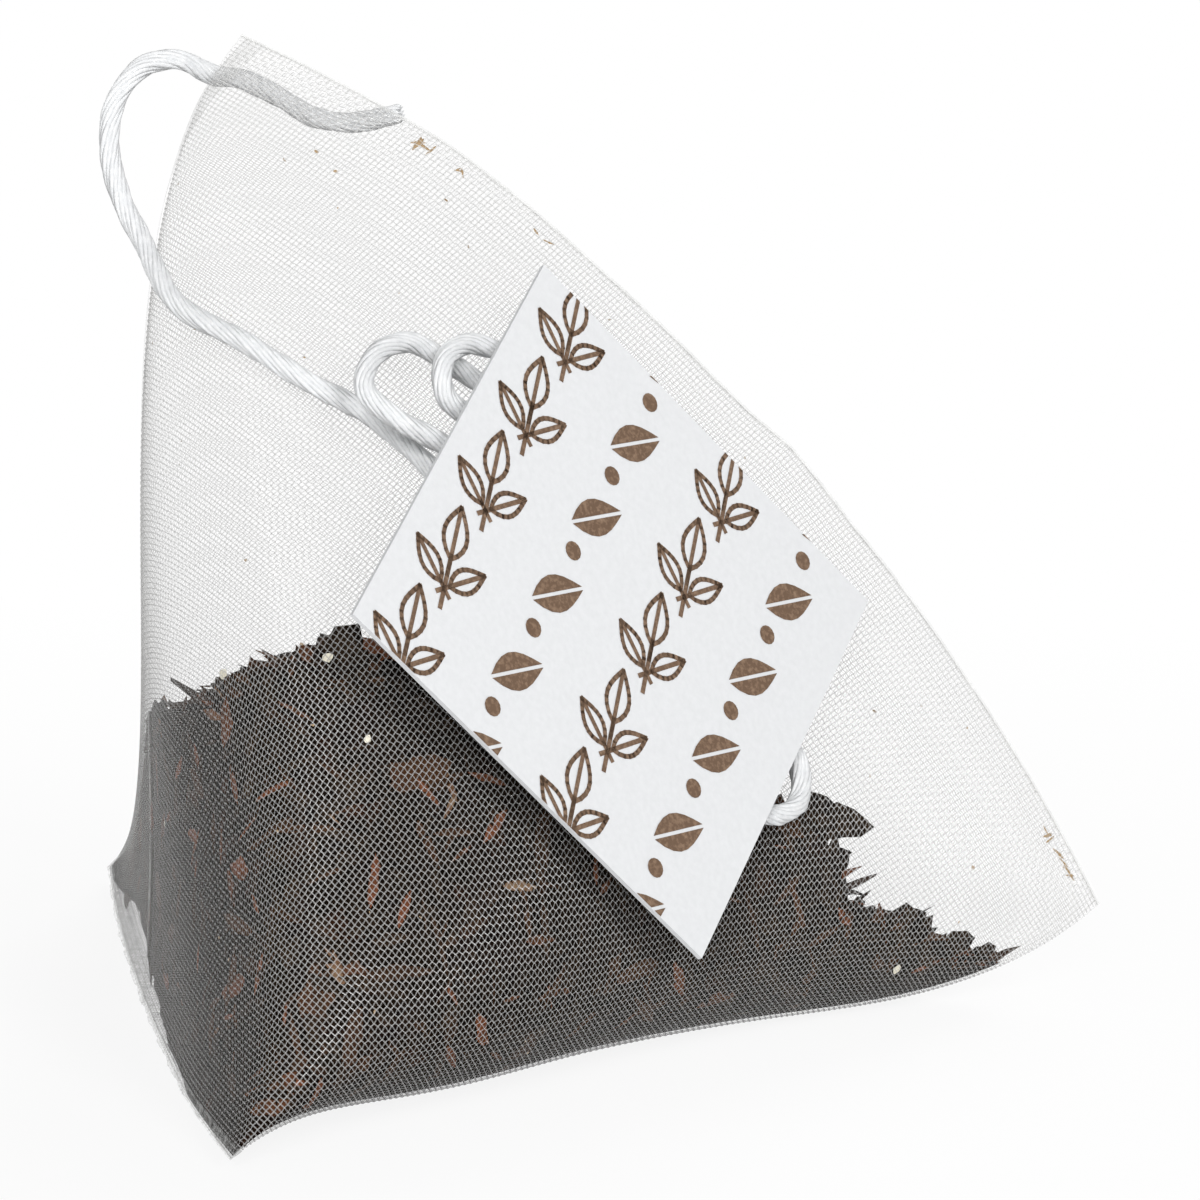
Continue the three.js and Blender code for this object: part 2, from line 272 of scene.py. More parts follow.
# Local shapes that the photograph shows: place, reach and depth of each dent, in millimetres. A
# bulge has a depth below zero.
DENTS = [
    ((-1.5, -20.6, 1.6), 6.5, -0.85),
    ((17.5, -6.3, 0.1), 7.0, 0.5),
]

print("girth, mm:", GIRTH, "lean, degrees:", round(math.degrees(LEAN), 1))


# %% The surface as a function
def in_space(x, y, level, half_length, half_width):
    """Points of a section in space, from x and y in the section.

    The way along the tube is the level's share of the weld spacing, plus the top weld's bow times
    the level squared and its uneven lifts times the level to the fourth, less the lower weld's bow.
    Both bows are parabolas across. The lean turns x and that way into right and up, and the sag and
    the floor's height are taken off up.
    """
    reach = x / half_length
    top_bow = TOP_WELD_BOW * level**2 * (1 - reach**2)
    top_bow = top_bow + level**4 * np.interp(reach, TOP_EDGE_PLACES, TOP_EDGE_LIFTS)
    low_bow = END_WELD_BOW * (1 - level) ** 2 * (1 - (y / half_width) ** 2)
    along = WELD_SPACING * (level - 0.5) + top_bow - low_bow
    sag = BASE_SAG * np.sin(np.pi * level) * np.maximum(0, x / half_length)
    right = x * math.cos(LEAN) + along * math.sin(LEAN)
    up = along * math.cos(LEAN) - x * math.sin(LEAN) - sag - FLOOR
    return np.stack([right, y + 0 * right, up], -1) + ORIGIN_SHIFT


def tube(levels, shares):
    """Surface points for rows of levels and columns of shares of the girth, unsettled.

    Each section is a superellipse, |x/a|^p + |y/b|^p = 1, whose half sizes a and b are the level and
    one less the level, scaled to the girth. Points lie at equal shares of its length.
    """
    levels = np.asarray(levels, float)
    angle = np.linspace(0, 2 * np.pi, OUTLINE_SAMPLES + 1)
    flattest = 2 * WELD_GAP / GIRTH
    along = np.clip(levels, flattest, 1 - flattest)[:, None]
    cosine, sine = -np.cos(angle), -np.sin(angle)
    x = along * np.sign(cosine) * np.abs(cosine) ** (2 / CORNER_POWER)
    y = (1 - along) * np.sign(sine) * np.abs(sine) ** (2 / CORNER_POWER)
    run = np.concatenate([np.zeros((len(x), 1)), np.cumsum(np.hypot(np.diff(x), np.diff(y)), 1)], 1)
    scale = GIRTH / run[:, -1:]
    wanted = np.mod(shares, 1.0)
    at_x = np.stack([np.interp(wanted * r[-1], r, row) for r, row in zip(run, x)]) * scale
    at_y = np.stack([np.interp(wanted * r[-1], r, row) for r, row in zip(run, y)]) * scale
    return in_space(at_x, at_y, levels[:, None], along * scale, (1 - along) * scale)


def surface(levels, shares):
    """Points and outward normals, with the dents pressed in.

    A normal is the cross product of a small step round the tube and a small step up it. A dent moves
    points against their normals by its depth times a bell curve of their distance from its place.
    """
    step = 1e-4
    shares = np.asarray(shares, float)
    levels = np.clip(levels, 0.0, 1.0)
    points = tube(levels, shares)
    round_way = tube(levels, shares + step) - tube(levels, shares - step)
    up_way = tube(np.minimum(levels + step, 1), shares) - tube(np.maximum(levels - step, 0), shares)
    normals = unit(np.cross(round_way, up_way))
    for place, reach, depth in DENTS:
        near = np.exp(-np.sum((points - (np.array(place) + ORIGIN_SHIFT)) ** 2, -1) / (2 * reach**2))
        points = points - depth * near[..., None] * normals
    return points, normals


def settle(points, least=FLOOR_GAP):
    """The points, with those below the least height raised to it."""
    return np.concatenate([points[..., :2], np.maximum(points[..., 2:], least)], -1)


print("corner A at", tube([1.0], [0.0])[0, 0].round(2), "corner C at", tube([0.0], [0.25])[0, 0].round(2))

# %% [markdown]
# ## The mesh
# The real mesh is a plain weave of clear filaments: warp threads run along the tube, weft threads run
# round it, and each goes over one and under the next. A sheet with a pattern of holes would be lighter,
# but it loses the zigzag of glints over the dark tea, which comes from threads that rise and dip. So
# each thread is real. Across, it is a low roof of three points, two edges and a ridge, which keeps
# more than 600 threads within the limit on triangles. They are flat-shaded, because smoothing would
# wash the glints out.

# %% One set of threads
WARPS = 492
WEFTS = 174
THREAD_WIDTH = 0.066
THREAD_RISE = 0.014
CRIMP = 0.042
ROOF_POINTS = 3


def roofs(path, sideways, normals, name, close):
    """Threads along the second axis of path, each as a roof of two strips.

    At each step the edges are the path less and plus half a width sideways, both half a rise down,
    and the ridge is the path plus half a rise. close joins a thread's end to its start.
    """
    edge = sideways * THREAD_WIDTH / 2
    sink = normals * THREAD_RISE / 2
    points = np.stack([path - edge - sink, path + sink, path + edge - sink], 2)
    threads, steps = path.shape[:2]
    points = settle(points).reshape(-1, 3)
    start = (np.arange(threads) * steps * ROOF_POINTS)[:, None, None]
    here = np.arange(steps if close else steps - 1)[None, :, None]
    after = (here + 1) % steps
    side = np.arange(ROOF_POINTS - 1)[None, None, :]
    near = start + here * ROOF_POINTS + side
    far = start + after * ROOF_POINTS + side
    faces = np.stack(np.broadcast_arrays(near, near + 1, far + 1, far), -1).reshape(-1, 4)
    return make_mesh(name, points, faces, smooth=False)


print("from warp to warp, mm:", round(GIRTH / WARPS, 3))

# %% The weave
cross_levels = (np.arange(WEFTS) + 0.5) / WEFTS
cross_shares = np.arange(WARPS) / WARPS
crossings, normals = surface(cross_levels, cross_shares)
over = np.where((np.arange(WEFTS)[:, None] + np.arange(WARPS)[None, :]) % 2 == 0, 1.0, -1.0)[..., None]
round_way = unit(np.roll(crossings, -1, 1) - np.roll(crossings, 1, 1))
up_way = unit(np.gradient(crossings, axis=0))

warp_paths = np.swapaxes(crossings + normals * over * CRIMP, 0, 1)
warp_sides = np.swapaxes(round_way, 0, 1)
warp_normals = np.swapaxes(normals, 0, 1)
weft_paths = crossings - normals * over * CRIMP
half = WARPS // 2
middle = WEFTS // 2
threads = [
    roofs(warp_paths[:half], warp_sides[:half], warp_normals[:half], "warp_front", False),
    roofs(warp_paths[half:], warp_sides[half:], warp_normals[half:], "warp_back", False),
    roofs(weft_paths[:middle], -up_way[:middle], normals[:middle], "weft_low", True),
    roofs(weft_paths[middle:], -up_way[middle:], normals[middle:], "weft_high", True),
]

# %% The threads' look
mesh_look = Shader("mesh_thread")
mesh_look.set(
    Base_Color=(0.46, 0.457, 0.45, 1), Roughness=0.27, IOR=1.5, Specular_IOR_Level=1.0, Alpha=0.40,
)
for made in threads:
    dress(made, mesh_look)
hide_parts("mesh_pouch")

# %% [markdown]
# ## The welds
# Heat has fused the mesh into a thin crinkled band along both ends, and a third weld closes the tube
# along its length. The threads themselves could be pressed together there, at the cost of many more
# points for a band that is hardly a millimetre wide. So a narrow grid lies over each face of each end,
# a little off the threads, with a sum of waves for its crinkles, and a narrow strip runs along the
# tube as the third weld.

# %% Bands over the end welds
BAND_STEPS = 8
BAND_LENGTH_STEPS = 260
BAND_LIFT = 0.07
BAND_WAVE = 0.064
BAND_WAVE_COUNTS = (13, 29, 51)
LOW_BAND_WIDTH = 0.9
TOP_BAND_WIDTH = 0.3
# The pouch's slanting side from weld to weld, which turns a width into a share of the levels.
SIDE_LENGTH = math.hypot(WELD_SPACING, WELD_LENGTH / 2)


def crinkle(run, waves, seed):
    """A sum of sine waves with random phases, the k-th one divided by k: the uneven pull of a weld."""
    phases = np.random.default_rng(seed).uniform(0, 2 * np.pi, len(waves))
    terms = enumerate(zip(waves, phases))
    return sum(np.sin(2 * np.pi * n * run + phase) / (1 + k) for k, (n, phase) in terms)


def end_band(name, level, share_from, share_to, seed, width):
    """A fused band over one face of an end weld, from the cut edge inwards.

    It follows the surface at a set height, plus the crinkle, which fades to nothing inwards.
    """
    inward = np.linspace(0, width / SIDE_LENGTH, BAND_STEPS)
    levels = inward if level == 0 else 1 - inward
    shares = np.linspace(share_from, share_to, BAND_LENGTH_STEPS)
    points, out = surface(levels, shares)
    run = np.linspace(0, 1, BAND_LENGTH_STEPS)[None, :]
    fade = np.linspace(1, 0, BAND_STEPS)[:, None]
    lift = BAND_LIFT + BAND_WAVE * fade * crinkle(run, BAND_WAVE_COUNTS, seed)
    points = settle(points + out * lift[..., None])
    return make_mesh(name, points.reshape(-1, 3), grid_faces(BAND_STEPS, BAND_LENGTH_STEPS))


bands = [
    end_band("low_weld_out", 0, -0.25, 0.25, 3, LOW_BAND_WIDTH),
    end_band("low_weld_in", 0, 0.25, 0.75, 4, LOW_BAND_WIDTH),
    end_band("top_weld_front", 1, 0.0, 0.5, 5, TOP_BAND_WIDTH),
    end_band("top_weld_back", 1, 0.5, 1.0, 6, TOP_BAND_WIDTH),
]
print("weld bands:", len(bands))

# %% The weld along the tube, and the welds' look
SEAM_WIDTH = 0.9
SEAM_SHARE = -0.006
SEAM_LIFT = 0.14
SEAM_ROWS = 200
SEAM_COLUMNS = 4
seam_shares = SEAM_SHARE + np.linspace(-0.5, 0.5, SEAM_COLUMNS) * SEAM_WIDTH / GIRTH
seam_points, seam_out = surface(np.linspace(0, 1, SEAM_ROWS), seam_shares)
seam_points = settle(seam_points + seam_out * SEAM_LIFT).reshape(-1, 3)
seam = make_mesh("tube_weld", seam_points, grid_faces(SEAM_ROWS, SEAM_COLUMNS))

weld_look = Shader("fused_mesh")
weld_grain = weld_look.noise(1500, 3.0, 0.6)
weld_look.set(
    Base_Color=weld_look.mix(weld_grain.ramp(0.3, 0.7), (0.42, 0.42, 0.41, 1), (0.66, 0.66, 0.65, 1)),
    Roughness=0.4,
    Alpha=(weld_grain.ramp(0.35, 0.65) * 0.3) + 0.1,
)
weld_look.bump(weld_grain, 0.0002)
for made in [*bands, seam]:
    dress(made, weld_look)

# %% [markdown]
# ## The tea's heap
# The tea is thousands of dry leaf pieces that fill the pouch up to a sloping top. As single pieces all
# of them would take millions of faces, and most would never be seen. So a closed dark body fills the
# inside, and only what shows is made of pieces. The body is the pouch's surface, moved inwards and cut
# off at the heap's top. The top is a table of heights along the bag, because the photograph shows that
# line through the mesh, with small lumps on it and a tilt towards the back.

# %% The heap's top
TEA_CLEARANCE = 0.3
TEA_SIDE_TILT = 0.28
TEA_END_X = 29.5
LUMP_HEIGHT = 0.25
TOP_DROP = 0.4

# Heights along the bag with the side tilt taken off. Behind the tag they run straight.
HEAP_PLACES = (
    -13.9, -13.4, -12.6, -11.2, -9.9, -8.4, -6.3, -4.5, 5.0,
    16.5, 18.1, 19.6, 20.8, 23.0, 25.8, 27.0, 29.8, 30.3,
)
HEAP_HEIGHTS = (
    16.2, 14.9, 14.5, 15.7, 16.2, 16.8, 17.1, 16.7, 14.0,
    9.6, 9.1, 7.4, 5.2, 4.2, 3.4, 2.9, 1.9, -3.0,
)

# Beside the lower weld no tea lies below these heights, from the near corner to the far one.
FREE_PLACES = (-32.0, -21.0, -8.0, 0.0, 11.0, 20.0, 25.0, 32.0)
FREE_HEIGHTS = (0.1, 0.15, 0.5, 1.6, 3.0, 2.4, 1.4, 0.8)
WELD_WALL_X = -13.7


def heap_top(x, y):
    """The height of the heap's top: the table along the bag, less the tilt times y, plus the lumps.

    The lumps are a product of two slanting sine waves plus a finer third one.
    """
    x = x - ORIGIN_SHIFT[0]
    lumps = np.sin(0.9 * x + 0.4 * y) * np.sin(0.7 * y - 0.3 * x) + 0.6 * np.sin(2.1 * x - 1.3 * y)
    return np.interp(x, HEAP_PLACES, HEAP_HEIGHTS) - TEA_SIDE_TILT * y + LUMP_HEIGHT * lumps - TOP_DROP


print("heap's top over the origin, mm:", round(float(heap_top(0.0, 0.0)), 1))

# %% Kept inside the mesh
LEAF_CLEARANCE = 0.14
tree_levels = np.linspace(0.012, 0.988, 150)
tree_shares = np.arange(400) / 400
pouch_grid, _ = surface(tree_levels, tree_shares)
tree_faces = grid_faces(len(tree_levels), len(tree_shares), True)
pouch_tree = BVHTree.FromPolygons(settle(pouch_grid).reshape(-1, 3).tolist(), tree_faces.tolist())


def contained(points):
    """The points, with those outside the pouch or too near its mesh drawn inside it.

    A point's height over the mesh is its offset from the nearest place, measured along the normal
    there. Where that is more than minus the clearance, the point goes to that place, less the
    clearance along the normal. The tree answers for one point at a time, so this is a loop.
    """
    moved = points.copy()
    for number, point in enumerate(points.tolist()):
        nearest, normal, _, _ = pouch_tree.find_nearest(point)
        if (Vector(point) - nearest).dot(normal) > -LEAF_CLEARANCE:
            moved[number] = nearest - normal * LEAF_CLEARANCE
    return moved


print("faces of the pouch to measure against:", len(tree_faces))

# %% The heap's body
HEAP_FLOOR = 0.15
heap_levels = np.linspace(0.006, 0.97, 100)
heap_shares = np.arange(240) / 240
shell, shell_out = surface(heap_levels, heap_shares)
# The inset is less where the lower weld pinches the pouch, and less near the floor.
pinch = np.clip(heap_levels / 0.05, 0.3, 1.0)[:, None] * np.clip(shell[..., 2] / 3.0, 0.5, 1.0)
body = settle(shell - shell_out * TEA_CLEARANCE * pinch[..., None], HEAP_FLOOR)
free = WELD_WALL_X + ORIGIN_SHIFT[0] + np.interp(body[..., 1], FREE_PLACES, FREE_HEIGHTS) - body[..., 2]
body[..., 0] = np.clip(body[..., 0], free, TEA_END_X + ORIGIN_SHIFT[0])
top_height = np.maximum(heap_top(body[..., 0], body[..., 1]), HEAP_FLOOR)
buried = body[..., 2] <= top_height
body[..., 2] = np.minimum(body[..., 2], top_height)
body[~buried] = settle(contained(body[~buried]), HEAP_FLOOR)
heap = make_mesh("tea_heap", body.reshape(-1, 3), grid_faces(len(heap_levels), len(heap_shares), True))
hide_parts("tea_leaves")
print("heap's highest point, mm:", round(float(body[..., 2].max()), 1))

# %% [markdown]
# ## Leaf pieces
# A dry leaf piece is a small pointed oval with a ragged edge, curled along and across. Copies of one
# model would all look alike, so each piece is a small grid with its own size, edge and curl, and one
# function makes thousands of them as one array. They lie against the mesh all over the heap, closer
# together along its rim, and more lie on its top. Each piece also carries a number from 0 to 1, its
# tint, which picks its colour.

# %% Leaf pieces
LEAF_ROWS = 6
LEAF_COLUMNS = 3
LEAF_FLOOR = 0.2
NEARLY_UP = np.array([0.0, 0.0, 1.0]) + 1e-3
RAGGED_LEAST = 0.55
RAGGED_MOST = 1.25
TIP_POWER = 2.2
TIP_NARROWING = 0.85
UNEVEN = 0.09
CURL_ACROSS = 1.1
CURL_ALONG = 0.25
BRIGHT_LENGTH = 3.0


def leaf_pieces(name, places, outward, sizes, slimness, curls, headings, tips, seed):
    """Curled leaf pieces in one mesh.

    Each is a pointed oval of the given length and slimness. It lies square to outward, its long way
    turned by its heading, and it curls inwards across and along. tips tilts it out of its plane.
    The half width at u, from -1 to 1 along, is the slimness times 1 - 0.85 |u|^2.2, times a random
    share. The curl is a parabola across plus a flatter one along. Long pieces get a lower tint.
    """
    random = np.random.default_rng(seed)
    count = len(places)
    first = unit(np.cross(outward, NEARLY_UP))
    second = np.cross(outward, first)
    long_way = first * np.cos(headings)[:, None] + second * np.sin(headings)[:, None]
    long_way = unit(long_way + outward * tips[:, None])
    wide_way = unit(np.cross(outward, long_way))
    up = np.cross(long_way, wide_way)
    u = np.linspace(-1, 1, LEAF_ROWS)[None, :, None]
    v = np.linspace(-1, 1, LEAF_COLUMNS)[None, None, :]
    ragged = random.uniform(RAGGED_LEAST, RAGGED_MOST, (count, LEAF_ROWS, LEAF_COLUMNS))
    breadth = (1 - np.abs(u) ** TIP_POWER * TIP_NARROWING) * ragged * slimness[:, None, None]
    along = u + random.uniform(-UNEVEN, UNEVEN, (count, LEAF_ROWS, LEAF_COLUMNS))
    bend = curls[:, None, None] * (v**2 * breadth * CURL_ACROSS + CURL_ALONG * u**2)
    size = (sizes / 2)[:, None, None]
    parts = [(along * size, long_way), (v * breadth * size, wide_way), (-bend * size, up)]
    offsets = sum(reach[..., None] * way[:, None, None, :] for reach, way in parts)
    points = places[:, None, None, :] + offsets
    points = contained(points.reshape(-1, 3)).reshape(points.shape)
    tint = random.uniform(0, 1, count) * np.clip(BRIGHT_LENGTH / sizes, 0.0, 1.0)
    tint = np.repeat(tint, LEAF_ROWS * LEAF_COLUMNS)
    starts = (np.arange(count) * LEAF_ROWS * LEAF_COLUMNS)[:, None, None]
    faces = grid_faces(LEAF_ROWS, LEAF_COLUMNS)[None] + starts
    made = make_mesh(name, settle(points, LEAF_FLOOR).reshape(-1, 3), faces.reshape(-1, 4))
    made.data.attributes.new("tint", "FLOAT", "POINT").data.foreach_set("value", tint.astype(np.float32))
    print(f"{name}: {count} pieces")
    return made


# %% Where pieces lie, and how long they are
SCATTER_ROWS = 240
SCATTER_COLUMNS = 960
LENGTH_SPREAD = 4.0


def scatter(count, seed, low, high):
    """Random places on the pouch from one level to another, with their normals.

    Levels and shares of the girth are drawn evenly and rounded to a fine grid of surface points.
    """
    random = np.random.default_rng(seed)
    levels = np.sort(random.uniform(low, high, count))
    shares = random.uniform(0, 1, count)
    points, out = surface(np.linspace(0, 1, SCATTER_ROWS + 1), np.arange(SCATTER_COLUMNS) / SCATTER_COLUMNS)
    row = np.clip((levels * SCATTER_ROWS).round().astype(int), 0, SCATTER_ROWS)
    column = (shares * SCATTER_COLUMNS).round().astype(int) % SCATTER_COLUMNS
    return points[row, column], out[row, column], random


def leaf_lengths(random, count, scale, least):
    """Lengths from a gamma distribution plus the least one: many short pieces and few long ones."""
    return random.gamma(LENGTH_SPREAD, scale, count) + least


def each_place(table):
    """The surface's place and normal for the level and the share that open each row of a table."""
    row = np.arange(len(table))
    return [found[row, row] for found in surface(table[:, 0], table[:, 1])]


print("places are rounded to", SCATTER_ROWS + 1, "levels by", SCATTER_COLUMNS, "shares")

# %% Leaves against the mesh
LEAF_COUNT = 6000
WELD_SIDE_X = -10.6
places, out, random = scatter(LEAF_COUNT, 21, 0.006, 0.99)
sizes = leaf_lengths(random, len(places), 0.62, 0.7)
depth = random.uniform(0.10, 0.45, len(places))
places = places - out * depth[:, None]
weld_side = places[:, 0] - ORIGIN_SHIFT[0] < WELD_SIDE_X
keep = places[:, 2] + sizes * 0.12 < heap_top(places[:, 0], places[:, 1])
free_height = np.interp(places[:, 1], FREE_PLACES, FREE_HEIGHTS) + 0.5 * np.sin(1.3 * places[:, 1])
keep &= ~weld_side | (places[:, 2] > free_height)
keep &= places[:, 0] - ORIGIN_SHIFT[0] + sizes * 0.4 < TEA_END_X
places, out, sizes = places[keep], out[keep], sizes[keep]
count = len(places)
against = leaf_pieces(
    "tea_at_mesh", places, out, sizes,
    slimness=random.uniform(0.16, 0.6, count), curls=random.uniform(0.1, 0.9, count),
    headings=random.uniform(0, 2 * np.pi, count), tips=np.zeros(count), seed=22,
)

# %% Leaves along the rim
RIM_COUNT = 7000
RIM_ABOVE = 0.3
RIM_BELOW = 1.6
RIM_START_X = -12.4
RIM_END_GAP = 0.8
RIM_DEPTH = 0.25
places, out, random = scatter(RIM_COUNT, 31, 0.05, 0.99)
gap = heap_top(places[:, 0], places[:, 1]) - places[:, 2]
along_bag = places[:, 0] - ORIGIN_SHIFT[0]
keep = (gap > -RIM_ABOVE) & (gap < RIM_BELOW)
keep &= (along_bag > RIM_START_X) & (along_bag < TEA_END_X - RIM_END_GAP)
places, out = places[keep] - out[keep] * RIM_DEPTH, out[keep]
count = len(places)
rim = leaf_pieces(
    "tea_rim", places, out, leaf_lengths(random, count, 0.28, 0.7),
    slimness=random.uniform(0.45, 0.95, count), curls=random.uniform(0.1, 0.8, count),
    headings=random.uniform(0, 2 * np.pi, count), tips=random.uniform(-0.15, 0.0, count), seed=32,
)

# %% Leaves on the top
CROWN_COUNT = 2600
CROWN_TILT = 0.35
CROWN_LIFT = 0.15
tops = body[~buried & (body[..., 2] > 1.0) & (shell_out[..., 2] > 0.15)]
random = np.random.default_rng(41)
tops = tops[random.permutation(len(tops))[:CROWN_COUNT]]
count = len(tops)
tilts = [random.normal(0, CROWN_TILT, count), random.normal(0, CROWN_TILT, count)]
crown = leaf_pieces(
    "tea_top", tops + np.array([0, 0, CROWN_LIFT]), unit(np.stack([*tilts, np.ones(count)], -1)),
    leaf_lengths(random, count, 0.5, 0.6),
    slimness=random.uniform(0.16, 0.55, count), curls=random.uniform(0.1, 0.9, count),
    headings=random.uniform(0, 2 * np.pi, count), tips=np.zeros(count), seed=42,
)

# %% Single large leaves of the rim
LARGE_DEPTH = 0.22
LARGE_CURL = 0.15
LARGE_TINT = 0.35
# Level, share of the girth, length, slimness and heading.
RIM_LEAVES = np.array([
    (0.776, 0.379, 5.4, 0.42, -0.15), (0.766, 0.371, 4.2, 0.6, -0.5), (0.750, 0.372, 4.0, 0.7, 0.3),
    (0.783, 0.437, 2.4, 0.7, 0.1), (0.812, 0.464, 2.6, 0.6, 0.2), (0.830, 0.477, 2.4, 0.6, 0.2),
    (0.402, 0.136, 3.0, 0.7, 0.2), (0.410, 0.140, 3.4, 0.5, 0.2), (0.505, 0.168, 3.2, 0.7, 0.9),
])
rim_places, rim_out = each_place(RIM_LEAVES)
large = leaf_pieces(
    "tea_rim_leaves", rim_places - rim_out * LARGE_DEPTH, rim_out, RIM_LEAVES[:, 2], RIM_LEAVES[:, 3],
    curls=np.full(len(RIM_LEAVES), LARGE_CURL), headings=RIM_LEAVES[:, 4],
    tips=np.zeros(len(RIM_LEAVES)), seed=36,
)
large_tint = np.full(len(large.data.vertices), LARGE_TINT, np.float32)
large.data.attributes["tint"].data.foreach_set("value", large_tint)

# %% Leaf caught in the top weld
CAUGHT_LEVEL = 0.985
CAUGHT_SPREAD = 0.003
CAUGHT_DEPTH = 0.2
# Places are shares of the weld's half length from its middle, and each has a number of pieces.
CAUGHT = ((-0.68, 4), (-0.6, 3), (-0.45, 2), (0.86, 4), (0.91, 5))
random = np.random.default_rng(51)
caught_shares = np.concatenate([
    0.25 + place / 4 + random.normal(0, CAUGHT_SPREAD, number) for place, number in CAUGHT
])
caught_places, caught_out = surface(np.array([CAUGHT_LEVEL]), caught_shares)
caught_places, caught_out = caught_places[0] - caught_out[0] * CAUGHT_DEPTH, caught_out[0]
count = len(caught_shares)
caught = leaf_pieces(
    "tea_in_weld", caught_places, caught_out, random.uniform(0.4, 1.2, count),
    slimness=random.uniform(0.12, 0.3, count), curls=random.uniform(0.0, 0.5, count),
    headings=random.uniform(0, 2 * np.pi, count), tips=np.zeros(count), seed=52,
)

# %% Pale crumbs and fine specks that stick to the mesh
CRUMB_DEPTH = 0.1
CRUMB_SLIMNESS = 0.8
CRUMB_CURL = 0.2
# Level, share of the girth and length.
CRUMBS = np.array([
    (0.395, 0.121, 0.7), (0.487, 0.166, 0.6), (0.45, 0.196, 0.5), (0.735, 0.452, 0.6), (0.20, 0.03, 0.4),
])
crumb_places, crumb_out = each_place(CRUMBS)
crumbs = leaf_pieces(
    "tea_crumbs", crumb_places - crumb_out * CRUMB_DEPTH, crumb_out, CRUMBS[:, 2],
    slimness=np.full(len(CRUMBS), CRUMB_SLIMNESS), curls=np.full(len(CRUMBS), CRUMB_CURL),
    headings=np.linspace(0, 2, len(CRUMBS)), tips=np.zeros(len(CRUMBS)), seed=56,
)

SPECK_COUNT = 100
SPECK_DEPTH = 0.12
places, out, random = scatter(SPECK_COUNT, 61, 0.1, 0.97)
count = len(places)
specks = leaf_pieces(
    "tea_specks", places - out * SPECK_DEPTH, out, random.uniform(0.1, 0.28, count),
    slimness=random.uniform(0.4, 0.9, count), curls=random.uniform(0.0, 0.4, count),
    headings=random.uniform(0, 2 * np.pi, count), tips=np.zeros(count), seed=62,
)

# %% [markdown]
# ## The tea's colours
# Dry black tea is nearly black, with warm brown pieces among it and a rare tan stalk. One noise over
# everything would colour across the pieces, so each piece's tint picks its colour, and the noise only
# makes it uneven. The body underneath has no pieces, so two noises give it dust and reddish grains.

# %% The leaf pieces' look
tea_look = Shader("tea_leaf")
tint = tea_look.node("ShaderNodeAttribute", "Fac", settings=[("attribute_name", "tint")])
grain = tea_look.noise(900, 4.0, 0.65)
dark = tea_look.mix(grain.ramp(0.4, 0.7), (0.003, 0.0016, 0.001, 1), (0.030, 0.018, 0.010, 1))
warm = tea_look.mix(tint.ramp(0.4, 0.8) * 0.8, dark, (0.060, 0.027, 0.013, 1))
brown = tea_look.mix(tint.ramp(0.78, 0.93) * grain.ramp(0.25, 0.55), warm, (0.135, 0.046, 0.021, 1))
tan = tea_look.mix(tint.ramp(0.976, 0.988) * grain.ramp(0.3, 0.6) * 0.6, brown, (0.20, 0.155, 0.095, 1))
tea_look.set(Base_Color=tan, Roughness=0.7, Specular_IOR_Level=0.03)
tea_look.bump(grain, 0.0004)

# %% The specks', the crumbs' and the heap's looks
speck_look = Shader("tea_speck")
speck_look.set(Base_Color=(0.32, 0.22, 0.12, 1), Roughness=0.7)
crumb_look = Shader("tea_crumb")
crumb_look.set(Base_Color=(0.72, 0.68, 0.56, 1), Roughness=0.7)
dress(crumbs, crumb_look)
heap_look = Shader("tea_dust")
dust = heap_look.noise(1300, 5.0, 0.7)
red_dust = heap_look.noise(420, 3.0, 0.6)
dust_dark = heap_look.mix(dust.ramp(0.35, 0.7), (0.003, 0.002, 0.0012, 1), (0.020, 0.012, 0.007, 1))
heap_look.set(
    Base_Color=heap_look.mix(red_dust.ramp(0.6, 0.75) * 0.6, dust_dark, (0.06, 0.022, 0.011, 1)),
    Roughness=0.8, Specular_IOR_Level=0.02,
)
heap_look.bump(dust, 0.0008)
dress(heap, heap_look)
for made in (against, rim, crown, large):
    dress(made, tea_look)
for made in (caught, specks):
    dress(made, speck_look)
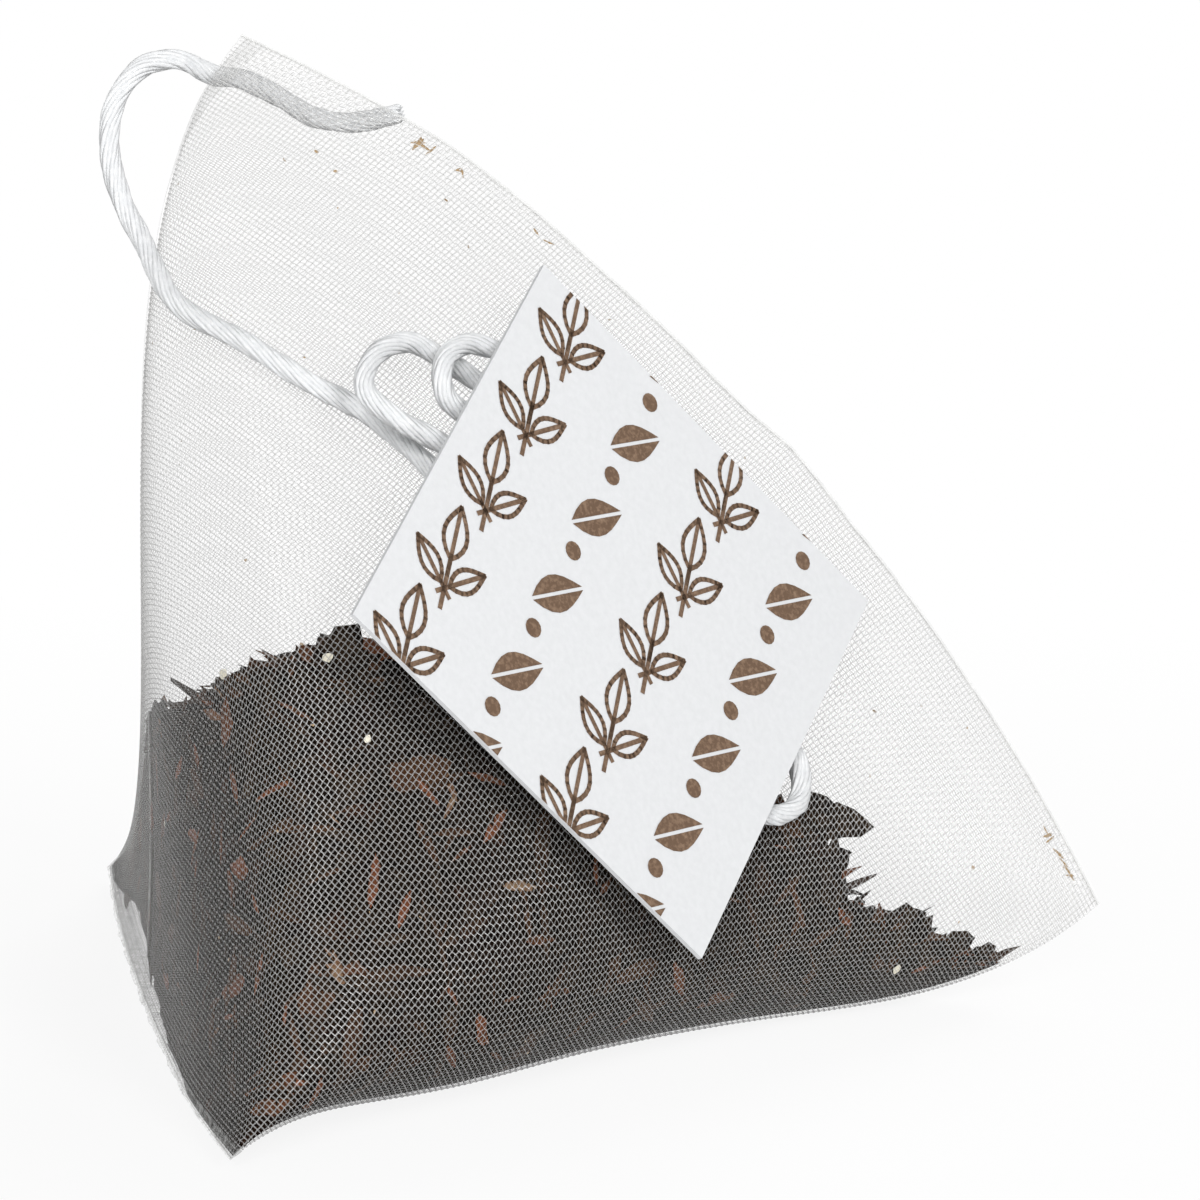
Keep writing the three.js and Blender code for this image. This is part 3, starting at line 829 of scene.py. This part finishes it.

# %% [markdown]
# ## The string
# The real string is a soft cotton yarn of fine strands wound round each other, so its shading runs in
# slanting lines and its edge is lobed. A round tube with a striped bump would keep a smooth edge. So
# eleven thin strands wind round a core, each a tube of its own, along the same route as in CAD. The
# route's points are given one by one, because a limp cord that is folded away follows no formula.

# %% The string's sizes and route
STRING_DIAMETER = 1.05
STRANDS = 11
STRAND_SIDES = 5
STRAND_RADIUS = 0.155
STRAND_PITCH = 8.5
YARN_STEPS = 620
LOBE_DEPTH = 0.09
LOBE_RATE = 0.8
LOBE_STEP = 2.4
TUBE_END_SHARE = 0.05
ROUTE = np.array([
    [-1.5, 1.0, 45.8], [-3.9, 2.0, 45.2], [-5.8, 2.3, 45.4], [-7.6, 2.1, 46.4], [-9.6, 1.8, 47.3],
    [-11.0, 1.6, 47.5], [-12.9, 0.9, 48.3], [-14.8, 0.4, 47.9], [-16.1, -0.1, 46.2], [-16.4, -0.7, 44.0],
    [-15.9, -1.5, 41.7], [-14.9, -2.6, 39.6], [-13.4, -5.8, 36.8], [-10.4, -8.6, 35.3], [-7.7, -10.1, 33.7],
    [-4.3, -10.9, 31.9], [-1.8, -11.9, 29.8], [2.1, -13.6, 25.8], [6.3, -14.4, 21.2], [10.3, -14.0, 16.8],
    [13.5, -13.4, 13.6], [15.9, -12.4, 12.3], [17.5, -11.0, 12.8], [17.5, -9.9, 14.7], [15.4, -10.2, 16.8],
    [10.8, -11.5, 20.5], [6.3, -12.2, 24.5], [2.9, -12.2, 28.3], [-1.3, -13.3, 31.0], [-3.5, -13.8, 32.2],
    [-5.0, -13.4, 33.5], [-4.4, -11.7, 35.0], [-2.6, -10.1, 35.5], [-0.7, -9.3, 34.6], [2.7, -8.4, 32.3],
    [6.3, -8.2, 29.6], [9.5, -8.1, 27.1], [11.8, -8.1, 25.1], [13.3, -8.1, 23.2], [13.4, -9.0, 21.6],
    [11.9, -10.1, 21.6], [9.9, -10.5, 23.3], [7.5, -10.6, 26.0], [4.7, -10.9, 28.8], [0.6, -11.9, 31.9],
    [-0.9, -12.2, 33.1], [-1.0, -11.5, 34.6], [0.2, -10.1, 35.4], [2.0, -9.2, 35.0], [6.6, -7.6, 32.1],
    [9.2, -7.3, 29.8], [11.7, -6.9, 27.4],
]) + ORIGIN_SHIFT
print("points of the route:", len(ROUTE))


# %% Lines through the route
def spline(knots, fineness=24):
    """A smooth curve through all the knots.

    Each knot's time is the one before plus the square root of their distance. Between two knots a
    point is a blend of blends: of the straight lines through the four knots round it, taken two by
    two, then of those results, each weighted by time.
    """
    knots = np.vstack([2 * knots[0] - knots[1], knots, 2 * knots[-1] - knots[-2]])
    spans = np.sqrt(np.linalg.norm(np.diff(knots, axis=0), axis=1))
    times = np.concatenate([[0], np.cumsum(spans)])
    pieces = []
    for k in range(1, len(knots) - 2):
        t = np.linspace(times[k], times[k + 1], fineness, endpoint=k == len(knots) - 3)[:, None]
        t0, t1, t2, t3 = times[k - 1 : k + 3]
        p0, p1, p2, p3 = knots[k - 1 : k + 3]
        a1 = (t1 - t) / (t1 - t0) * p0 + (t - t0) / (t1 - t0) * p1
        a2 = (t2 - t) / (t2 - t1) * p1 + (t - t1) / (t2 - t1) * p2
        a3 = (t3 - t) / (t3 - t2) * p2 + (t - t2) / (t3 - t2) * p3
        b1 = (t2 - t) / (t2 - t0) * a1 + (t - t0) / (t2 - t0) * a2
        b2 = (t3 - t) / (t3 - t1) * a2 + (t - t1) / (t3 - t1) * a3
        pieces.append((t2 - t) / (t2 - t1) * b1 + (t - t1) / (t2 - t1) * b2)
    return np.vstack(pieces)


def even(points, count):
    """count points at equal steps along a line."""
    run = np.concatenate([[0], np.cumsum(np.linalg.norm(np.diff(points, axis=0), axis=1))])
    wanted = np.linspace(0, run[-1], count)
    return np.stack([np.interp(wanted, run, points[:, k]) for k in range(3)], -1), run[-1]


def carried_frames(line):
    """Two directions square to the line at each point, carried along it without twist."""
    ways = unit(np.gradient(line, axis=0))
    side = np.empty_like(line)
    side[0] = unit(np.cross(ways[0], [0.3, 0.2, 1.0]))
    for k in range(1, len(line)):
        side[k] = unit(side[k - 1] - ways[k] * (side[k - 1] @ ways[k]))
    return side, np.cross(ways, side)


print("steps along the yarn:", YARN_STEPS)


# %% The yarn
def tubes(line_list, radius, sides, name):
    """Tubes along lines of equal counts, in one mesh.

    A ring is the line's point plus the radius times the cosine and sine in the two directions square
    to the line. The first and last rings are drawn almost to a point.
    """
    points, faces = [], []
    for line in line_list:
        one, two = carried_frames(line)
        angle = np.linspace(0, 2 * np.pi, sides, endpoint=False)
        ring = one[:, None] * np.cos(angle)[None, :, None] + two[:, None] * np.sin(angle)[None, :, None]
        size = np.full(len(line), radius)
        size[[0, -1]] = radius * TUBE_END_SHARE
        faces.append(grid_faces(len(line), sides, True) + sum(len(p) for p in points))
        points.append((line[:, None] + ring * size[:, None, None]).reshape(-1, 3))
    return make_mesh(name, np.vstack(points), np.vstack(faces))


middle_line, string_length = even(spline(ROUTE), YARN_STEPS)
one, two = carried_frames(middle_line)
run = np.linspace(0, string_length, YARN_STEPS)
winding_radius = STRING_DIAMETER / 2 - STRAND_RADIUS
strand_lines = []
for strand in range(STRANDS):
    angle = 2 * np.pi * (strand / STRANDS + run / STRAND_PITCH)
    lobe = winding_radius * (1 + LOBE_DEPTH * np.sin(LOBE_RATE * run + LOBE_STEP * strand))
    strand_line = middle_line + one * (lobe * np.cos(angle))[:, None]
    strand_lines.append(strand_line + two * (lobe * np.sin(angle))[:, None])
yarn = tubes(strand_lines + [middle_line], STRAND_RADIUS, STRAND_SIDES, "yarn")

# %% The yarn's look
yarn_look = Shader("cotton")
fibre = yarn_look.noise(2200, 4.0, 0.7)
yarn_look.set(
    Base_Color=yarn_look.mix(fibre.ramp(0.3, 0.7), (0.56, 0.57, 0.58, 1), (0.67, 0.675, 0.68, 1)),
    Roughness=0.85,
)
yarn_look.bump(fibre, 0.0001)
dress(yarn, yarn_look)
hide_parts("string")
print("string length, mm:", round(float(string_length), 1))

# %% [markdown]
# ## The tag
# The tag is a square of white paper with a brown print. A picture could carry the print, but flat
# shapes a hair above the paper keep their edges sharp at any distance. The card itself is the CAD
# one with a paper look. The print is a plain pattern of leaf sprigs, slit ovals and dots, drawn in the
# card's own two directions, which are read from its corners.

# %% The card's own directions
TAG_SIDE = 25.0
TAG_THICKNESS = 0.25
INK_LIFT = 0.03
FACE_SLACK = 0.12
EDGE_SLACK = 6.0
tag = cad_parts["paper_tag"]
tag_points = np.array([v.co for v in tag.data.vertices]) / MM
tag_middle = (tag_points.min(0) + tag_points.max(0)) / 2
GUESS_ALONG = np.array([0.708, 0.127, -0.695])
GUESS_DOWN = np.array([-0.456, -0.670, -0.586])
GUESS_OUT = np.array([0.540, -0.732, 0.416])


def face_mean(guess, slack):
    """The middle of the card's corners that lie furthest along a direction, or within the slack."""
    reach = (tag_points - tag_middle) @ guess
    return tag_points[reach > reach.max() - slack].mean(0)


tag_out = unit(face_mean(GUESS_OUT, FACE_SLACK) - face_mean(-GUESS_OUT, FACE_SLACK))
tag_along = unit(face_mean(GUESS_ALONG, EDGE_SLACK) - face_mean(-GUESS_ALONG, EDGE_SLACK))
tag_along = unit(tag_along - tag_out * (tag_along @ tag_out))
tag_down = np.cross(tag_out, tag_along)
tag_down = tag_down * np.sign(tag_down @ GUESS_DOWN)
print("tag axes", tag_along.round(3), tag_down.round(3), tag_out.round(3))

# %% Shapes of the print
PRINT_MARGIN = 0.02
STROKE_OVERRUN = 0.3
STALK_LENGTH = 0.9
STALK_LINE = 0.27
LEAF_LINE = 0.25
SLIT_HALF = 0.09
SLIT_EDGE = 0.1
prints = []


def clipped(polygon):
    """The part of a convex outline that lies on the card, cut at each of its four edges."""
    polygon = [np.array(p, float) for p in polygon]
    limit = TAG_SIDE / 2 - PRINT_MARGIN
    for axis, sign in ((0, 1), (0, -1), (1, 1), (1, -1)):
        kept = []
        for here, after in zip(polygon, polygon[1:] + polygon[:1]):
            in_here, in_after = limit - sign * here[axis], limit - sign * after[axis]
            if in_here >= 0:
                kept.append(here)
            if in_here * in_after < 0:
                kept.append(here + (after - here) * in_here / (in_here - in_after))
        polygon = kept
    return polygon


def stroke(line, width):
    """A line of even width, as one quad a segment, each a little longer than its segment."""
    line = np.asarray(line, float)
    for here, after in zip(line[:-1], line[1:]):
        way = unit(after - here)
        side = np.array([-way[1], way[0]]) * width / 2
        overrun = way * width * STROKE_OVERRUN
        start, end = here - overrun, after + overrun
        prints.append(clipped([start - side, end - side, end + side, start + side]))


def leaf(middle, heading, length, width, line_width):
    """An outlined leaf with a midrib. Its half width at t, from stalk to tip, is a sine of t^0.85."""
    way = np.array([math.cos(heading), math.sin(heading)])
    side = np.array([-way[1], way[0]])
    t = np.linspace(0, 1, 9)
    bulge = width / 2 * np.sin(np.pi * t**0.85)
    spine = np.array(middle) + np.outer((t - 0.5) * length, way)
    stroke(spine + np.outer(bulge, side), line_width)
    stroke(spine - np.outer(bulge, side), line_width)
    stroke([spine[0] - way * STALK_LENGTH, spine[-1]], line_width)


def dot(middle, radius):
    """A filled round dot."""
    angle = np.linspace(0, 2 * np.pi, 14, endpoint=False)
    prints.append(clipped(np.array(middle) + radius * np.stack([np.cos(angle), np.sin(angle)], -1)))


def slit_oval(middle, heading, length, width):
    """A heavy pointed oval with a slit along its middle. Its half width at t is a sine of t^0.9."""
    way = np.array([math.cos(heading), math.sin(heading)])
    side = np.array([-way[1], way[0]])
    t = np.linspace(0, 1, 8)
    bulge = width / 2 * np.sin(np.pi * t**0.9)
    spine = np.array(middle, float) + np.outer((t - 0.5) * length, way)
    for sign in (1, -1):
        inner = spine + sign * side * SLIT_HALF
        outer = spine + sign * (np.outer(bulge, side) + side * SLIT_EDGE)
        for k in range(len(t) - 1):
            prints.append(clipped([inner[k], inner[k + 1], outer[k + 1], outer[k]][::sign]))


def sprig(middle, heading, length):
    """A line drawing of a stalk with a leaf at its tip and one at each side, in shares of its length."""
    way = np.array([math.cos(heading), math.sin(heading)])
    foot = np.array(middle, float) - way * length * 0.5
    stroke([foot, foot + way * length * 0.55], STALK_LINE)
    leaf(foot + way * length * 0.78, heading, length * 0.55, length * 0.27, LEAF_LINE)
    for sign in (1, -1):
        turn_out = heading + sign * 0.85
        reach = np.array([math.cos(turn_out), math.sin(turn_out)])
        side_leaf = foot + way * length * 0.2 + reach * length * 0.3
        leaf(side_leaf, turn_out, length * 0.46, length * 0.22, LEAF_LINE)


print("the print may reach", TAG_SIDE / 2 - PRINT_MARGIN, "mm from the card's middle")

# %% The print laid out
ROW_STEP = 5.9
ROW_START = 2.4
MOTIF_STEP = 5.4
SPRIG_START = 0.4
OVAL_START = 2.4
SPRIG_HEADING = math.radians(-105)
SPRIG_LENGTH = 5.4
OVAL_HEADING = math.radians(-52)
OVAL_LENGTH = 3.5
OVAL_WIDTH = 1.75
DOT_ASIDE = 0.3
DOT_RADIUS = 0.5
for row in range(-3, 4):
    across = row * ROW_STEP + ROW_START
    if abs(across) >= TAG_SIDE / 2:
        continue
    for motif in range(-3, 4):
        down = motif * MOTIF_STEP + (OVAL_START if row % 2 else SPRIG_START)
        if row % 2 == 0:
            sprig((across, down), SPRIG_HEADING, SPRIG_LENGTH)
        else:
            slit_oval((across, down), OVAL_HEADING, OVAL_LENGTH, OVAL_WIDTH)
            dot((across - DOT_ASIDE, down + MOTIF_STEP / 2), DOT_RADIUS)

print_points, print_faces = [], []
for outline in prints:
    if len(outline) > 2:
        print_faces.append(list(range(len(print_points), len(print_points) + len(outline))))
        print_points += outline
flat = np.array(print_points)
ink_height = TAG_THICKNESS / 2 + INK_LIFT
on_card = tag_middle + flat[:, :1] * tag_along + flat[:, 1:] * tag_down + tag_out * ink_height
ink_data = bpy.data.meshes.new("tag_print")
ink_data.from_pydata((on_card * MM).tolist(), [], print_faces)
ink = bpy.data.objects.new("tag_print", ink_data)
bpy.context.scene.collection.objects.link(ink)
print("flat shapes of ink:", len(print_faces))

# %% Paper and ink
paper_look = Shader("paper")
paper_grain = paper_look.noise(3000, 3.0, 0.6)
paper_look.set(
    Base_Color=paper_look.mix(paper_grain.ramp(0.3, 0.7), (0.575, 0.582, 0.592, 1), (0.61, 0.617, 0.627, 1)),
    Roughness=0.8,
)
tag.data.materials.clear()
tag.data.materials.append(paper_look.material)

ink_look = Shader("ink")
speck = ink_look.noise(4200, 2.0, 0.6)
ink_look.set(
    Base_Color=ink_look.mix(speck.ramp(0.45, 0.75), (0.100, 0.056, 0.030, 1), (0.21, 0.135, 0.085, 1)),
    Roughness=0.7,
)
dress(ink, ink_look)

# %% [markdown]
# ## The stage and the light
# The photograph is a cut-out on plain white. A floor lit until it looks white would bleach the bag as
# well. So the floor and the world are lit gently, and only the rays of the camera, of reflections and
# of what is seen through clear things find them plain white. Two soft lamps stand in front of the bag,
# and one behind it keeps its back from going dark.

# %% Plain white for what is seen
def white_background(nodes, lit, output, share=1.0):
    """Plain white for camera, glossy and transmission rays, by the given share, and lit for all others."""
    on_material = output.bl_idname == "ShaderNodeOutputMaterial"
    kind = "ShaderNodeEmission" if on_material else "ShaderNodeBackground"
    white = nodes.node(kind, Color=(1, 1, 1, 1), Strength=1.0)
    seen = nodes.node("ShaderNodeLightPath", "Is Camera Ray")
    for ray in ("Is Glossy Ray", "Is Transmission Ray"):
        seen = seen.math("MAXIMUM", nodes.node("ShaderNodeLightPath", ray))
    shown = nodes.node("ShaderNodeMixShader", 0, (), enumerate((seen * share, Value(nodes, lit), white)))
    nodes.feed(output.inputs["Surface"], shown)
    print("plain white behind", output.id_data.name)


# %% Floor
FLOOR_REACH = 3.0
FLOOR_DROP = 0.0002
# Near the bag the floor is a little less than plain white by itself, so that the bag's shadow stays.
SHADOW_SHARE = 0.12
SHADOW_NEAR = 0.04
SHADOW_FAR = 0.13
floor_signs = ((-1, -1), (1, -1), (1, 1), (-1, 1))
floor_corners = [(x * FLOOR_REACH, y * FLOOR_REACH, -FLOOR_DROP) for x, y in floor_signs]
floor_data = bpy.data.meshes.new("floor")
floor_data.from_pydata(floor_corners, [], [(0, 1, 2, 3)])
floor = bpy.data.objects.new("floor", floor_data)
bpy.context.scene.collection.objects.link(floor)
floor_look = Shader("floor")
floor_look.set(Base_Color=(0.9, 0.9, 0.9, 1), Roughness=1.0, Specular_IOR_Level=0.0)
floor_places = floor_look.places()
from_bag = floor_look.node("ShaderNodeVectorMath", "Value", [("operation", "LENGTH")], Vector=floor_places)
floor_share = 1.0 - from_bag.ramp(SHADOW_FAR, SHADOW_NEAR) * SHADOW_SHARE
floor_output = floor_look.tree.nodes["Material Output"]
white_background(floor_look, floor_look.surface.outputs[0], floor_output, floor_share)
floor_data.materials.append(floor_look.material)

# %% World and lamps
FILL_STRENGTH = 0.20
LAMP_AIM = Vector((0, 0, 0.02))
world = bpy.data.worlds.new("world")
bpy.context.scene.world = world
world.use_nodes = True
fill = world.node_tree.nodes["Background"]
fill.inputs["Color"].default_value = (1, 1, 1, 1)
fill.inputs["Strength"].default_value = FILL_STRENGTH
white_background(Nodes(world.node_tree), fill.outputs[0], world.node_tree.nodes["World Output"])


def soft_light(name, place, size, power):
    """A square area light that faces the bag."""
    data = bpy.data.lights.new(name, "AREA")
    data.size = size
    data.energy = power
    made = bpy.data.objects.new(name, data)
    made.location = place
    made.rotation_euler = (LAMP_AIM - Vector(place)).to_track_quat("-Z", "Y").to_euler()
    bpy.context.scene.collection.objects.link(made)
    print("lamp", name, "of", power, "watts")


soft_light("key", (-0.26, -0.86, 0.38), 0.3, 7.0)
soft_light("front", (0.32, -0.85, 0.45), 0.3, 5.0)
soft_light("back", (0.40, 0.78, 0.50), 0.5, 6.0)

# A ray through the bag crosses many clear threads, and each crossing counts as a bounce.
bpy.context.scene.cycles.transparent_max_bounces = 24
bpy.context.scene.view_settings.view_transform = "Standard"
bpy.context.scene.view_settings.look = "None"
